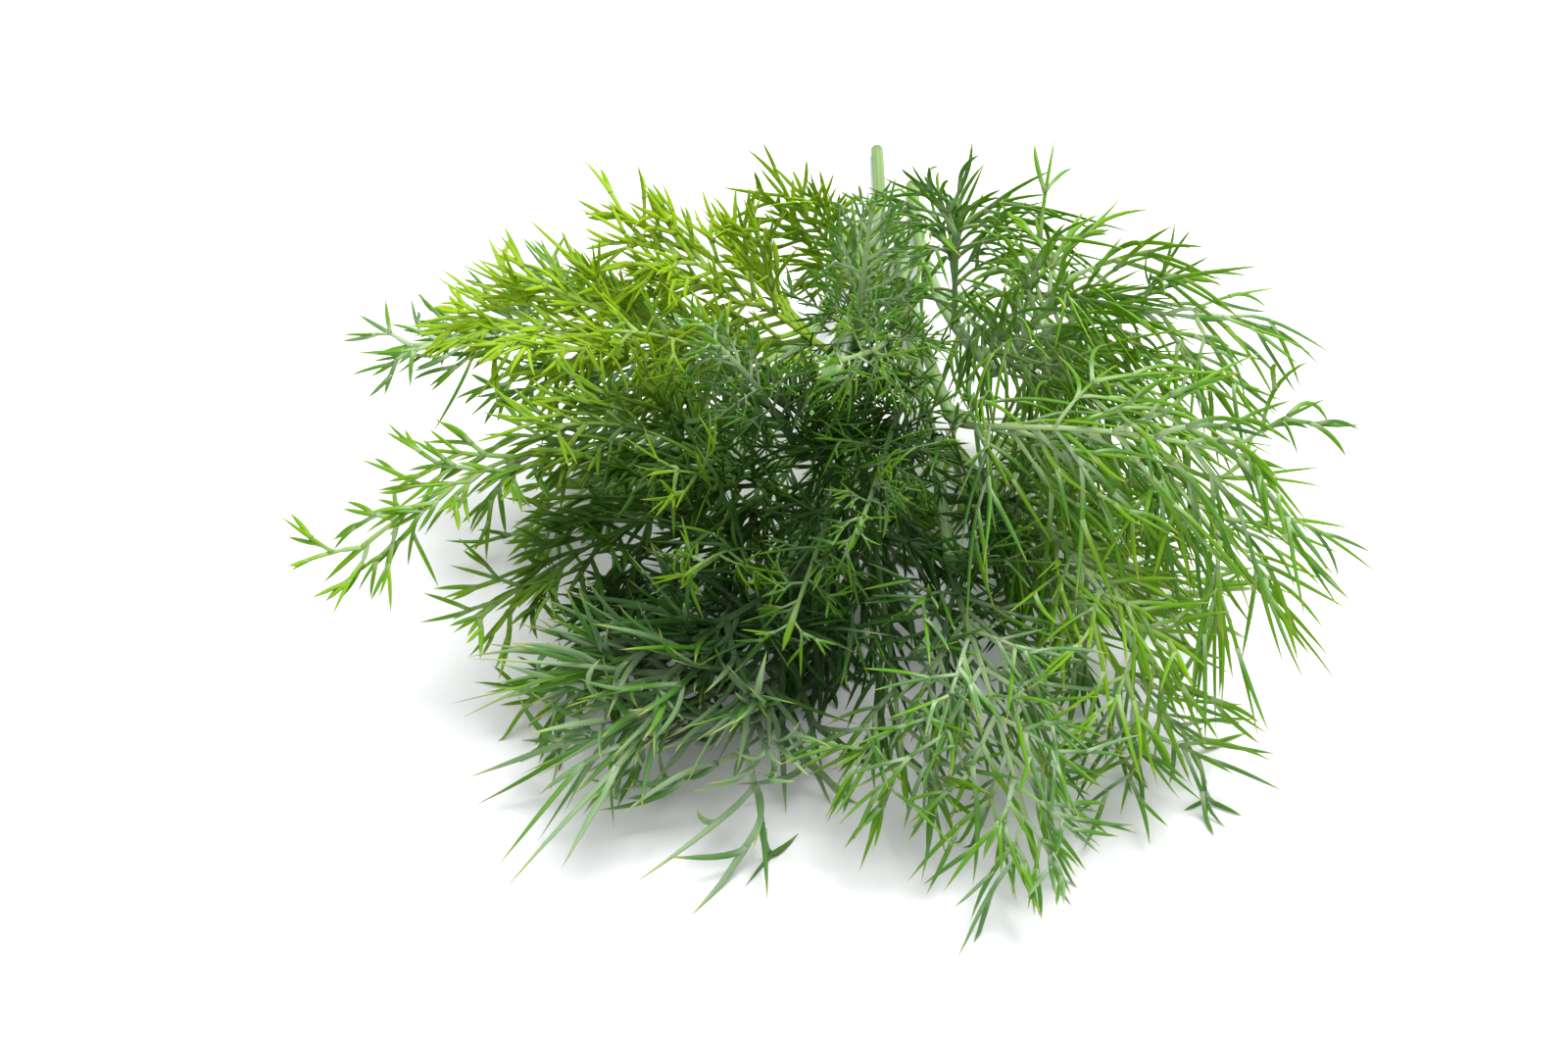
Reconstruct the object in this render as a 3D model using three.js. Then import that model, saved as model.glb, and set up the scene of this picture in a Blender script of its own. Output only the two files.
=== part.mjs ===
// A bunch of dill, laid on a flat surface.
// Seven cut stems lie side by side at the back (+Y). They fan out and rise towards the front (-Y),
// and each carries several fronds, which are the plant's finely divided leaves.
// A frond is a midrib with pairs of side branches, and each side branch has pairs of its own.
// Units are millimetres, +Z is up, and the surface is Z = 0 once the bunch is set down at the end.
import * as THREE from "three";
import { TessellateModifier } from "three/addons/modifiers/TessellateModifier.js";
import { mergeVertices } from "three/addons/utils/BufferGeometryUtils.js";

// ---- Driving dimensions ----

// The overall sizes that the bunch is grown to, and those that its points are drawn at.
const SPREAD_WIDTH = 160;
const BUNCH_LENGTH = 208;
const HEAD_HEIGHT = 76;
const DRAWN_AT = [160, 208, 76];

// Half the width of each part of the plant, at its foot and at its tip, and a frond's thickness.
const STEM_RADIUS = 1.2;
const STEM_TOP_RADIUS = 0.95;
const MIDRIB_HALF = 0.8;
const BRANCH_HALF = 0.6;
const LEAFLET_HALF = 0.5;
const FROND_THICKNESS = 1.1;
const TIP_THICKNESS = 0.7;

// Air between two pieces that touch on the plant, and the least between two that only pass each other,
// whose flat faces stray a little from the lines that they follow.
const GAP = 0.3;
const PASSING_AIR = 0.8;

// The cut stems lie in two layers, a pitch apart.
const BUNDLE_X = 18;
const BUNDLE_AIR = 0.8;
const BUNDLE_PITCH = 2 * STEM_RADIUS + BUNDLE_AIR;
const LAYER_RISE = BUNDLE_PITCH * Math.sin(Math.PI / 3);

// The lower third of a frond's midrib is a bare stalk, which bends at these shares of its length, and
// its pairs of side branches follow.
const STALK_STATIONS = [0, 0.06, 0.12, 0.19, 0.27];
const PAIR_PLACES = [0.36, 0.53, 0.7, 0.87];

// How the side branches stand: their angle to the midrib in the lowest pair and how much steeper the
// top pair is, in degrees, and how far they sag, in millimetres at 10 mm from the midrib.
const BRANCH_ANGLE = 52;
const STEEPER = 14;
const SAG = 0.5;

// A long side branch carries pairs of leaflets at these shares of its length, a middling one only the
// last of them, and a short one none.
const LEAFLET_ANGLE = 42;
const LEAFLET_PLACES = [0.28, 0.62];
const LEAFLET_SHARE = 0.6;
const LEAFLET_LEAST = 5;
const LONG_BRANCH = 11;
const SHORT_BRANCH = 6.5;

// A frond leaves the side of its stem at this slope, and heads that way for this share of its length.
const LEAVING_SLOPE = 0.45;
const LEAVING_SHARE = 0.28;

// A midrib is raised by this much at a time to clear another piece, and a twig is shortened.
const LIFT = 1.5;
const MOST_LIFTS = 12;
const LENGTHS_TRIED = [1, 0.75, 0.5];

const UP = new THREE.Vector3(0, 0, 1);
const STEM_SIDES = 8;
const STEM_STEPS = 9;

// A frond's flat faces are split until no edge is longer than this, so that they follow its bends.
const LONGEST_EDGE = 12;
const SPLITS = 8;
const LINE_STEP = 4;

// ---- The plant ----

// A stem: its column and layer in the bundle, how far back it is cut, how far forward it stays in the
// bundle, the sideways slant there, and then the points that it bends towards and ends at.
const STEMS = [
  { name: "stem_centre", column: 0, layer: 0, cut: 116, keeps: 78, slant: 0.6, bend: [15, 32, 15], top: [11, -10, 42] },
  { name: "stem_right", column: 1, layer: 1, cut: 84, keeps: 62, slant: 0, bend: [22, 25, 22], top: [25, -22, 38] },
  { name: "stem_left", column: -2, layer: 0, cut: 86, keeps: 62, slant: 0, bend: [2, 30, 12], top: [-9, -6, 27] },
  { name: "stem_upper_right", column: 2, layer: 0, cut: 103, keeps: 70, slant: 0, bend: [29, 28, 18], top: [33, -2, 32] },
  { name: "stem_lower_right", column: 1, layer: 0, cut: 80, keeps: 56, slant: 0, bend: [26, 16, 4], top: [25, -34, 20] },
  { name: "stem_lower_left", column: -1, layer: 0, cut: 88, keeps: 58, slant: 0, bend: [8, 10, 4], top: [-1, -36, 17] },
  { name: "stem_middle", column: -1, layer: 1, cut: 82, keeps: 60, slant: 0, bend: [7, 20, 19], top: [3, -22, 31] },
];

// A frond: the stem that it grows on and how far along, the point that it bends towards, its tip,
// the length of its longest side branch, and the way that its flat side faces.
const FRONDS = [
  { name: "frond_left_long", stem: "stem_left", at: 1, bend: [-44, -22, 42], tip: [-73, -40, 15], reach: 34, face: [0, -0.3, 1] },
  { name: "frond_left_back", stem: "stem_left", at: 0.62, bend: [-44, 14, 32], tip: [-69, 13, 24], reach: 26, face: [0, -0.4, 1] },
  { name: "frond_left_bright", stem: "stem_left", at: 0.8, bend: [-32, 2, 44], tip: [-57, 6, 34], reach: 26, face: [0, -0.3, 1] },
  { name: "frond_left_middle", stem: "stem_lower_left", at: 0.8, bend: [-20, -16, 40], tip: [-40, -31, 40], reach: 24, face: [0, -0.3, 1] },
  { name: "frond_upper_left", stem: "stem_middle", at: 0.62, bend: [-14, 10, 50], tip: [-32, 18, 45], reach: 24, face: [0, -0.6, 1] },
  { name: "frond_top_back", stem: "stem_centre", at: 0.6, bend: [2, 30, 46], tip: [-10, 34, 52], reach: 20, face: [0, -1, 0.3] },
  { name: "frond_top_centre", stem: "stem_centre", at: 1, bend: [12, -16, 62], tip: [13.3, -13, 73], reach: 15, face: [0, -1, 0.2] },
  { name: "frond_centre_left", stem: "stem_middle", at: 1, bend: [0, -34, 52], tip: [-14, -30, 60], reach: 20, face: [0, -0.8, 0.6] },
  { name: "frond_centre_high", stem: "stem_centre", at: 0.86, bend: [14, -36, 58], tip: [5, -44, 63], reach: 18, face: [0, -0.8, 0.6] },
  { name: "frond_centre_face", stem: "stem_right", at: 0.84, bend: [16, -44, 46], tip: [8, -61, 40], reach: 20, face: [0, -0.9, 0.5] },
  { name: "frond_centre_low", stem: "stem_middle", at: 0.84, bend: [5, -52, 40], tip: [-1, -69, 28], reach: 20, face: [0, -0.9, 0.5] },
  { name: "frond_top_right", stem: "stem_upper_right", at: 0.66, bend: [26, 20, 46], tip: [31, 16, 57], reach: 22, face: [0, -1, 0.4] },
  { name: "frond_right_back", stem: "stem_upper_right", at: 1, bend: [42, 0, 50], tip: [53, 8, 57], reach: 26, face: [0, -0.8, 0.5] },
  { name: "frond_right_upper", stem: "stem_upper_right", at: 0.5, bend: [50, -6, 46], tip: [70, -9, 46], reach: 26, face: [0, -0.6, 0.8] },
  { name: "frond_right_long", stem: "stem_right", at: 1, bend: [42, -42, 56], tip: [76, -46, 44], reach: 34, face: [0, -0.5, 0.9] },
  { name: "frond_right_low", stem: "stem_upper_right", at: 0.84, bend: [48, -28, 46], tip: [71, -57, 28], reach: 32, face: [0, -0.4, 1] },
  { name: "frond_right_droop", stem: "stem_lower_right", at: 0.84, bend: [42, -50, 43], tip: [54, -69, 20], reach: 26, face: [0, -0.8, 0.6] },
  { name: "frond_front_fan", stem: "stem_lower_right", at: 1, bend: [28, -64, 30], tip: [37, -90, 2], reach: 28, face: [0, -0.5, 1] },
  { name: "frond_front_right", stem: "stem_lower_right", at: 0.66, bend: [44, -46, 21], tip: [59, -69, 2.5], reach: 28, face: [0, -0.4, 1] },
  { name: "frond_front_middle", stem: "stem_middle", at: 0.7, bend: [15, -56, 26], tip: [18, -79, 5], reach: 24, face: [0, -0.5, 1] },
  { name: "frond_front_left", stem: "stem_lower_left", at: 1, bend: [-12, -54, 28], tip: [-27, -69, 7], reach: 24, face: [0, -0.4, 1] },
  { name: "frond_front_curled", stem: "stem_lower_left", at: 0.88, bend: [-3, -60, 20], tip: [-11, -79, 1.5], reach: 22, face: [0, -0.4, 1] },
  { name: "frond_low_left", stem: "stem_lower_left", at: 0.66, bend: [-24, -32, 28], tip: [-53, -46, 12], reach: 26, face: [0, -0.3, 1] },
  { name: "frond_low_back", stem: "stem_lower_left", at: 0.76, bend: [-20, -38, 15], tip: [-41, -56, 1.5], reach: 26, face: [0, -0.3, 1] },
  { name: "frond_under_left", stem: "stem_left", at: 0.55, bend: [-26, 10, 9], tip: [-47, -14, 0.8], reach: 24, face: [0, -0.2, 1] },
  { name: "frond_under_right", stem: "stem_lower_right", at: 0.5, bend: [42, -4, 9], tip: [64, -25, 0.8], reach: 26, face: [0, -0.2, 1] },
  { name: "frond_under_middle", stem: "stem_lower_left", at: 0.5, bend: [10, -20, 4], tip: [4, -50, 5], reach: 24, face: [0, -0.2, 1] },
];

// ---- Points and curves ----

const grown = [SPREAD_WIDTH, BUNCH_LENGTH, HEAD_HEIGHT].map((size, axis) => size / DRAWN_AT[axis]);
const leafScale = Math.cbrt(grown[0] * grown[1] * grown[2]);
const place = ([x, y, z]) => new THREE.Vector3(x * grown[0], y * grown[1], z * grown[2]);
const { lerp, clamp, degToRad } = THREE.MathUtils;

function stemCurve(stem) {
  const x = BUNDLE_X * grown[0] + stem.column * BUNDLE_PITCH;
  const z = STEM_RADIUS + stem.layer * LAYER_RISE;
  return new THREE.CubicBezierCurve3(
    new THREE.Vector3(x, stem.cut * grown[1], z),
    new THREE.Vector3(x + stem.slant, stem.keeps * grown[1], z),
    place(stem.bend),
    place(stem.top),
  );
}

const stemRadius = (share) => lerp(STEM_RADIUS, STEM_TOP_RADIUS, share);

// A frond on a stem's end carries on in line with it. Any other leaves from the stem's side.
// lift raises the curve's bend.
function frondCurve(frond, stem, lift) {
  const on = stem.curve.getPoint(frond.at);
  const tangent = stem.curve.getTangent(frond.at);
  const [bend, tip] = [place(frond.bend), place(frond.tip)];
  bend.z += lift;
  const out = bend.clone().sub(on);
  out.addScaledVector(tangent, -out.dot(tangent)).normalize();
  const start = on.clone();
  const leaving = tangent.clone();
  if (frond.at === 1) {
    start.addScaledVector(tangent, GAP);
  } else {
    start.addScaledVector(out, stemRadius(frond.at) + MIDRIB_HALF + 2 * GAP);
    leaving.addScaledVector(out, LEAVING_SLOPE).normalize();
  }
  const lead = leaving.multiplyScalar(LEAVING_SHARE * start.distanceTo(tip));
  return new THREE.CubicBezierCurve3(start, start.clone().add(lead), bend, tip);
}

// ---- The flat pattern of a frond ----
// A frond is drawn flat first, with its midrib along +Y, and bent onto its curve afterwards.
// A twig is a straight stretch of the pattern: where it starts, its angle from +Y (positive towards
// +X), its length, half its width at the foot, and the twigs that grow on it.

const ahead = (angle) => new THREE.Vector2(Math.sin(angle), Math.cos(angle));
const rightOf = (angle) => new THREE.Vector2(Math.cos(angle), -Math.sin(angle));

function twig(start, angle, length, half) {
  return { start, angle, length, half, twigs: [] };
}

// The place on a twig's middle line at a share of its length.
function along(parent, share) {
  return parent.start.clone().addScaledVector(ahead(parent.angle), parent.length * share);
}

// A twig narrows slowly at first and then quickly, towards a point.
const halfAt = (parent, share) => parent.half * (1 - 0.45 * share * share);

// The outline of a twig and of all that grows on it, anticlockwise: out along its right edge, with the
// twigs on that side, to its point, and back along its left edge. stations are shares of its length
// that get a point on each edge, so that a long bare stretch can bend.
function outline(parent, stations = []) {
  const side = rightOf(parent.angle);
  const edge = (sign) => {
    const stops = stations.map((share) => ({
      share,
      points: () => [along(parent, share).addScaledVector(side, sign * halfAt(parent, share))],
    }));
    for (const child of parent.twigs)
      if (child.side === sign) stops.push({ share: child.share, points: () => childOutline(parent, child) });
    return stops.sort((a, b) => sign * (a.share - b.share)).flatMap(({ points }) => points());
  };
  return [...edge(1), along(parent, 1), ...edge(-1)];
}

// A child's two edges start where they cross its parent's edge.
function childOutline(parent, child) {
  const turn = Math.abs(child.angle - parent.angle);
  const width = halfAt(parent, child.share);
  const foot = (sign) => {
    const inner = sign * child.side > 0 ? -1 : 1;
    const reach = (width + inner * child.half * Math.cos(turn)) / Math.sin(turn);
    return child.start
      .clone()
      .addScaledVector(rightOf(child.angle), sign * child.half)
      .addScaledVector(ahead(child.angle), reach);
  };
  return [foot(1), ...outline(child), foot(-1)];
}

// ---- Bending the pattern onto the frond's curve ----

// Where a point of the pattern comes to lie, with height above the frond's middle surface.
// Nothing sinks into the surface that the bunch lies on.
function bent(frond, x, y, height) {
  const share = clamp(y / frond.length, 0, 1);
  const tangent = frond.curve.getTangentAt(share);
  const across = tangent.clone().cross(frond.flat).normalize();
  const normal = across.clone().cross(tangent);
  const middle = frond.curve
    .getPointAt(share)
    .addScaledVector(tangent, y - share * frond.length)
    .addScaledVector(across, x)
    .addScaledVector(normal, (-SAG * x * x) / 100);
  middle.z = Math.max(middle.z, FROND_THICKNESS / 2);
  return middle.addScaledVector(normal, height);
}

// The line that a twig follows once it is bent, for telling how close it comes to others.
function bentLine(frond, piece) {
  const steps = Math.ceil(piece.length / LINE_STEP);
  const points = [];
  for (let i = 0; i <= steps; i++) {
    const { x, y } = along(piece, i / steps);
    points.push(bent(frond, x, y, 0));
  }
  return points;
}

// ---- Keeping pieces out of each other ----

// The shortest distance between two straight stretches, a to b and c to d.
function stretchDistance(a, b, c, d) {
  const u = b.clone().sub(a);
  const v = d.clone().sub(c);
  const w = a.clone().sub(c);
  const [uu, uv, vv, uw, vw] = [u.dot(u), u.dot(v), v.dot(v), u.dot(w), v.dot(w)];
  const slope = uu * vv - uv * uv;
  let s = slope > 1e-9 ? clamp((uv * vw - vv * uw) / slope, 0, 1) : 0;
  const t = clamp((uv * s + vw) / vv, 0, 1);
  s = clamp((uv * t - uw) / uu, 0, 1);
  return a.clone().addScaledVector(u, s).distanceTo(c.clone().addScaledVector(v, t));
}

const placed = [];

// How far the corners of a frond's cross-section stand from its middle line.
const cornerReach = (half) => Math.hypot(half, FROND_THICKNESS / 2);

// What a line of some thickness takes up. family holds what it may touch.
function room(points, thick, family) {
  const box = new THREE.Box3().setFromPoints(points).expandByScalar(thick + PASSING_AIR);
  return { points, thick, family, box };
}

function isClear(candidate) {
  for (const other of placed) {
    if (candidate.family.includes(other) || !candidate.box.intersectsBox(other.box)) continue;
    const least = candidate.thick + other.thick + PASSING_AIR;
    for (let i = 1; i < candidate.points.length; i++)
      for (let j = 1; j < other.points.length; j++) {
        const [a, b] = [candidate.points[i - 1], candidate.points[i]];
        const [c, d] = [other.points[j - 1], other.points[j]];
        if (stretchDistance(a, b, c, d) < least) return false;
      }
  }
  return true;
}

function keep(taken) {
  placed.push(taken);
  return taken;
}

// ---- Growing the bunch ----

function growStem(stem) {
  stem.curve = stemCurve(stem);
  stem.points = stem.curve.getPoints(STEM_STEPS);
  stem.room = keep(room(stem.points, STEM_RADIUS, []));
}

// A midrib that would run into another piece is laid over it, by raising its bend.
function growMidrib(frond) {
  const stem = STEMS.find(({ name }) => name === frond.stem);
  frond.flat = new THREE.Vector3(...frond.face).normalize();
  for (let lifts = 0; lifts <= MOST_LIFTS; lifts++) {
    frond.curve = frondCurve(frond, stem, lifts * LIFT);
    frond.length = frond.curve.getLength();
    frond.midrib = twig(new THREE.Vector2(0, 0), 0, frond.length, MIDRIB_HALF);
    frond.midrib.room = room(bentLine(frond, frond.midrib), cornerReach(MIDRIB_HALF), [stem.room]);
    if (isClear(frond.midrib.room)) break;
  }
  keep(frond.midrib.room);
}

// Adds a twig at a share of its parent's length, on one side, as long as it can be and stay clear.
// shape holds its turn away from the parent, its length and half its width.
function growTwig(frond, parent, share, side, shape, sister) {
  const { turn, length, half } = shape;
  const family = sister ? [parent.room, sister.room] : [parent.room];
  for (const part of LENGTHS_TRIED) {
    const child = twig(along(parent, share), parent.angle + side * turn, length * part, half);
    child.room = room(bentLine(frond, child), cornerReach(half), family);
    if (!isClear(child.room)) continue;
    keep(child.room);
    parent.twigs.push(Object.assign(child, { share, side }));
    return child;
  }
  return null;
}

function growPair(frond, parent, share, shape) {
  const first = growTwig(frond, parent, share, -1, shape, null);
  const second = growTwig(frond, parent, share, 1, shape, first);
  return [first, second].filter(Boolean);
}

function leafletPlaces(length) {
  if (length > LONG_BRANCH) return LEAFLET_PLACES;
  return length > SHORT_BRANCH ? LEAFLET_PLACES.slice(1) : [];
}

function growBranches(frond) {
  frond.branches = [];
  PAIR_PLACES.forEach((share, pair) => {
    const up = pair / PAIR_PLACES.length;
    const length = frond.reach * leafScale * (1 - up) ** 0.7;
    const turn = degToRad(BRANCH_ANGLE - STEEPER * up);
    frond.branches.push(...growPair(frond, frond.midrib, share, { turn, length, half: BRANCH_HALF }));
  });
}

function growLeaflets(frond) {
  const turn = degToRad(LEAFLET_ANGLE);
  for (const branch of frond.branches) {
    for (const share of leafletPlaces(branch.length)) {
      const length = Math.max(LEAFLET_SHARE * branch.length * (1 - share), LEAFLET_LEAST);
      growPair(frond, branch, share, { turn, length, half: LEAFLET_HALF });
    }
  }
}

STEMS.forEach(growStem);
FRONDS.forEach(growMidrib);
FRONDS.forEach(growBranches);
FRONDS.forEach(growLeaflets);

// ---- Solids ----

// Moves each vertex of a solid drawn in its own simple frame, and drops what only that frame needed.
function reshaped(geometry, move) {
  const position = geometry.attributes.position;
  for (let i = 0; i < position.count; i++) {
    const { x, y, z } = move(position.getX(i), position.getY(i), position.getZ(i));
    position.setXYZ(i, x, y, z);
  }
  geometry.deleteAttribute("normal");
  geometry.deleteAttribute("uv");
  const whole = mergeVertices(geometry, 1e-4);
  whole.computeVertexNormals();
  return whole;
}

// A stem is a cylinder whose rings are moved onto the stem's points.
function stemGeometry({ points }) {
  const last = points.length - 1;
  const rings = points.map((point, i) => {
    const tangent = points[Math.min(i + 1, last)].clone().sub(points[Math.max(i - 1, 0)]).normalize();
    const across = tangent.clone().cross(UP).normalize();
    return { point, across, normal: across.clone().cross(tangent), radius: stemRadius(i / last) };
  });
  const cylinder = new THREE.CylinderGeometry(1, 1, 1, STEM_SIDES, last);
  return reshaped(cylinder, (x, y, z) => {
    const { point, across, normal, radius } = rings[Math.round((y + 0.5) * last)];
    return point.clone().addScaledVector(across, x * radius).addScaledVector(normal, z * radius);
  });
}

const finerFaces = new TessellateModifier(LONGEST_EDGE, SPLITS);

// A frond is its flat pattern, extruded and bent. It thins out away from the midrib.
function frondGeometry(frond) {
  const pattern = new THREE.Shape(outline(frond.midrib, STALK_STATIONS));
  const slab = new THREE.ExtrudeGeometry(pattern, { depth: 1, steps: 1, bevelEnabled: false });
  return reshaped(finerFaces.modify(slab), (x, y, z) => {
    const out = clamp(Math.abs(x) / (frond.reach * leafScale), 0, 1);
    return bent(frond, x, y, (z - 0.5) * lerp(FROND_THICKNESS, TIP_THICKNESS, out));
  });
}

const stemGreen = new THREE.MeshStandardMaterial({ color: 0x8fa96a, roughness: 0.55, metalness: 0 });
const leafGreen = new THREE.MeshStandardMaterial({ color: 0x4f8a2c, roughness: 0.6, metalness: 0 });

const bunch = new THREE.Group();
function add(name, geometry, material) {
  const mesh = new THREE.Mesh(geometry, material);
  mesh.name = name;
  bunch.add(mesh);
}
for (const stem of STEMS) add(stem.name, stemGeometry(stem), stemGreen);
for (const frond of FRONDS) add(frond.name, frondGeometry(frond), leafGreen);

// The part's origin is the middle of the bunch on the surface that it lies on.
const box = new THREE.Box3().setFromObject(bunch);
const centre = box.getCenter(new THREE.Vector3());
bunch.position.set(-centre.x, -centre.y, -box.min.z);

export default bunch;
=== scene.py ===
# %% [markdown]
# # A bunch of dill
# A loose bunch of fresh dill lies on a pale table, with its cut stems away from the viewer.
# The packed model has the plain solids: seven stems, and a flat slab for each frond, which is the
# plant's much divided leaf. This file grows the real look on the same curves: stems with ribs, and
# fronds made of thin leaf threads, some thousands in all.

import math

import bpy
import numpy as np
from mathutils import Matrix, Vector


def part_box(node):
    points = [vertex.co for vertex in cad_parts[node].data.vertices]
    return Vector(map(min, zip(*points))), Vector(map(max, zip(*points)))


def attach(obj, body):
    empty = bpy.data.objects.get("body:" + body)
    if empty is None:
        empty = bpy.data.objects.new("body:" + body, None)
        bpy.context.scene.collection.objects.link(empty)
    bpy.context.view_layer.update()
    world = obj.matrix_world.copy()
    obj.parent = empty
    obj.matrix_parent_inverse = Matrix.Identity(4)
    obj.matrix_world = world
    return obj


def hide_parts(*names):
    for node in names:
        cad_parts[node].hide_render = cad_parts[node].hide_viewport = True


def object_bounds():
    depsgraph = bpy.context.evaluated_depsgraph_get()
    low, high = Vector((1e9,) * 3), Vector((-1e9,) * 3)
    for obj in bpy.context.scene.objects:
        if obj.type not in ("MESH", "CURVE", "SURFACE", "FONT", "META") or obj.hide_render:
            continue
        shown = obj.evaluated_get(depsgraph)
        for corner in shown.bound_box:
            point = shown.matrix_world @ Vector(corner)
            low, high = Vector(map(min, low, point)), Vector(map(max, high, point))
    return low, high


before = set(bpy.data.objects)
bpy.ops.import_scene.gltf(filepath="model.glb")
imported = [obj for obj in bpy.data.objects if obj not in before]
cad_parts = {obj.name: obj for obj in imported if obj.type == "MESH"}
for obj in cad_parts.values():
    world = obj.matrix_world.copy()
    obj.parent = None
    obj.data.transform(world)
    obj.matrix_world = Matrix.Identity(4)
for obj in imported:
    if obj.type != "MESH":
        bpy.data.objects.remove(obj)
packed_size = [list(corner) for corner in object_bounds()]
print("packed model from", packed_size[0], "to", packed_size[1])

# %% [markdown]
# ## The plan of the plant
# Every stem is one Bezier curve, and so is the midrib of every frond. The same points and the same
# rules made the packed solids, so what grows here follows them. Sizes in the tables are in
# millimetres, as a grower would measure a plant, and the meshes are scaled to metres at the end.
# A table of listed points was chosen over random scatter, because each frond of a real bunch
# can be picked out and followed back to its own stem.

# %% Stems: column, layer, cut end, end of the straight part, slant, bend, top
STEM_RADIUS = 1.2
STEM_TOP_RADIUS = 0.95
MIDRIB_HALF = 0.8  # half the width of a packed midrib
GAP = 0.3  # air that the packed model leaves around a frond's foot
BUNDLE_X = 18  # where column 0 of the bundle lies
BUNDLE_SPACING = 0.8
BUNDLE_PITCH = 2 * STEM_RADIUS + BUNDLE_SPACING
LAYER_RISE = BUNDLE_PITCH * math.sin(math.pi / 3)

STEMS = {
    "stem_centre": (0, 0, 116, 78, 0.6, (15, 32, 15), (11, -10, 42)),
    "stem_right": (1, 1, 84, 62, 0, (22, 25, 22), (25, -22, 38)),
    "stem_left": (-2, 0, 86, 62, 0, (2, 30, 12), (-9, -6, 27)),
    "stem_upper_right": (2, 0, 103, 70, 0, (29, 28, 18), (33, -2, 32)),
    "stem_lower_right": (1, 0, 80, 56, 0, (26, 16, 4), (25, -34, 20)),
    "stem_lower_left": (-1, 0, 88, 58, 0, (8, 10, 4), (-1, -36, 17)),
    "stem_middle": (-1, 1, 82, 60, 0, (7, 20, 19), (3, -22, 31)),
}
print(len(STEMS), "stems, in columns", round(BUNDLE_PITCH, 2), "mm apart")

# %% Fronds: stem, place on it, bend, tip, longest side branch, facing, kind of leaf, and tone
# The tone runs from 0, a grey blue-green, to 1, a bright yellow-green.
FRONDS = {
    "frond_left_long":
        ("stem_left", 1, (-44, -22, 42), (-73, -40, 15), 17, (0, -0.3, 1), "broad", 0.5),
    "frond_left_back":
        ("stem_left", 0.62, (-44, 14, 32), (-69, 13, 24), 27, (0, -0.4, 1), "broad", 0.3),
    "frond_left_bright":
        ("stem_left", 0.8, (-32, 2, 44), (-57, 6, 34), 30, (0, -0.3, 1), "broad", 0.95),
    "frond_left_middle":
        ("stem_lower_left", 0.8, (-20, -16, 40), (-40, -31, 40), 24, (0, -0.3, 1), "broad", 0.8),
    "frond_upper_left":
        ("stem_middle", 0.62, (-14, 10, 50), (-32, 18, 45), 27, (0, -0.6, 1), "broad", 0.95),
    "frond_top_back":
        ("stem_centre", 0.6, (2, 30, 46), (-10, 34, 52), 13, (0, -1, 0.3), "broad", 0.95),
    "frond_top_centre":
        ("stem_centre", 1, (12, -16, 62), (13.3, -13, 73), 17, (0, -1, 0.2), "fine", 0.25),
    "frond_centre_left":
        ("stem_middle", 1, (0, -34, 52), (-14, -30, 60), 20, (0, -0.8, 0.6), "fine", 0.3),
    "frond_centre_high":
        ("stem_centre", 0.86, (14, -36, 58), (5, -44, 63), 18, (0, -0.8, 0.6), "fine", 0.36),
    "frond_centre_face":
        ("stem_right", 0.84, (16, -44, 46), (8, -61, 40), 20, (0, -0.9, 0.5), "fine", 0.38),
    "frond_centre_low":
        ("stem_middle", 0.84, (5, -52, 40), (-1, -69, 28), 20, (0, -0.9, 0.5), "fine", 0.4),
    "frond_top_right":
        ("stem_upper_right", 0.66, (26, 20, 46), (31, 16, 57), 10, (0, -1, 0.4), "long", 0.4),
    "frond_right_back":
        ("stem_upper_right", 1, (42, 0, 50), (53, 8, 57), 14, (0, -0.8, 0.5), "long", 0.45),
    "frond_right_upper":
        ("stem_upper_right", 0.5, (50, -6, 46), (70, -9, 46), 13, (0, -0.6, 0.8), "long", 0.36),
    "frond_right_long":
        ("stem_right", 1, (42, -42, 56), (76, -46, 44), 16, (0, -0.5, 0.9), "long", 0.34),
    "frond_right_low":
        ("stem_upper_right", 0.84, (48, -28, 46), (71, -57, 28), 18, (0, -0.4, 1), "long", 0.45),
    "frond_right_droop":
        ("stem_lower_right", 0.84, (42, -50, 43), (54, -69, 20), 18, (0, -0.8, 0.6), "needle", 0.5),
    "frond_front_fan":
        ("stem_lower_right", 1, (28, -64, 30), (37, -90, 2), 30, (0, -0.5, 1), "needle", 0.22),
    "frond_front_right":
        ("stem_lower_right", 0.66, (44, -46, 21), (59, -69, 2.5), 23, (0, -0.4, 1), "needle", 0.3),
    "frond_front_middle":
        ("stem_middle", 0.7, (15, -56, 26), (18, -79, 5), 26, (0, -0.5, 1), "needle", 0.26),
    "frond_front_left":
        ("stem_lower_left", 1, (-12, -54, 28), (-27, -69, 7), 24, (0, -0.4, 1), "curly", 0.13),
    "frond_front_curled":
        ("stem_lower_left", 0.88, (-3, -60, 20), (-11, -79, 1.5), 22, (0, -0.4, 1), "curly", 0.02),
    "frond_low_left":
        ("stem_lower_left", 0.66, (-24, -32, 28), (-53, -46, 12), 26, (0, -0.3, 1), "broad", 0.62),
    "frond_low_back":
        ("stem_lower_left", 0.76, (-20, -38, 15), (-41, -56, 1.5), 26, (0, -0.3, 1), "broad", 0.35),
    "frond_under_left":
        ("stem_left", 0.55, (-26, 10, 9), (-47, -14, 0.8), 24, (0, -0.2, 1), "broad", 0.5),
    "frond_under_right":
        ("stem_lower_right", 0.5, (42, -4, 9), (64, -25, 0.8), 26, (0, -0.2, 1), "needle", 0.5),
    "frond_under_middle":
        ("stem_lower_left", 0.5, (10, -20, 4), (4, -50, 5), 24, (0, -0.2, 1), "broad", 0.45),
}
print(len(FRONDS), "fronds")

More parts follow.
